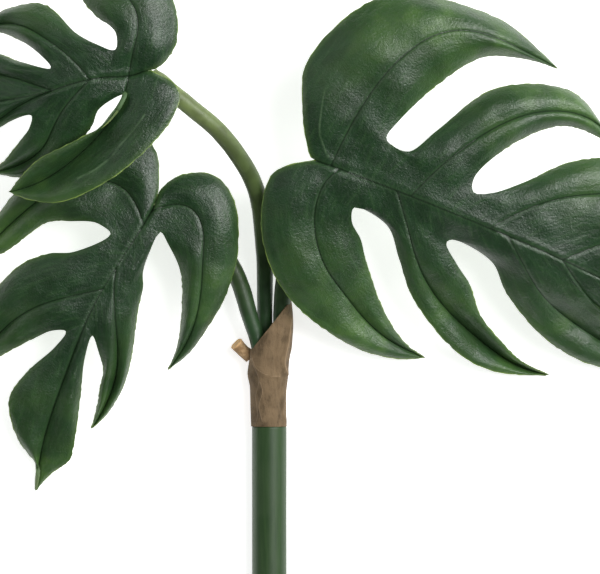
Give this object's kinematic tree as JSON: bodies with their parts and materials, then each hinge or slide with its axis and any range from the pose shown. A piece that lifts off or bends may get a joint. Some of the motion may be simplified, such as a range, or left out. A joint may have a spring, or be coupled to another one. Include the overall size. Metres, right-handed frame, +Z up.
{
  "type": "monstera leaf spray",
  "caption": "Cut monstera spray lying flat: a stout stem, a brown paper sheath, slender petioles and dark glossy split leaves.",
  "frame": {"origin": "middle of the spray's box, on the surface that it lies on", "axes": "+Y runs along the stem from the cut end to the leaves, +Z is up from the surface, +X is to the right seen from above"},
  "size_m": [0.3116, 0.379, 0.0651],
  "materials": {
    "stem": "smooth satin green stem",
    "petiole": "smooth satin green, paler by the leaf",
    "leaf": "dark green with a soft waxy gloss",
    "sheath": "dry brown paper, creased",
    "cut_wood": "raw tan cut"
  },
  "bodies": {
    "root": {"main_stem": "stem", "paper_sheath": "sheath", "cut_stub": "cut_wood", "right_petiole": "petiole", "lower_left_petiole": "petiole", "upper_left_petiole": "petiole", "right_blade": "leaf", "lower_left_blade": "leaf", "upper_left_blade": "leaf"}
  },
  "joints": []
}
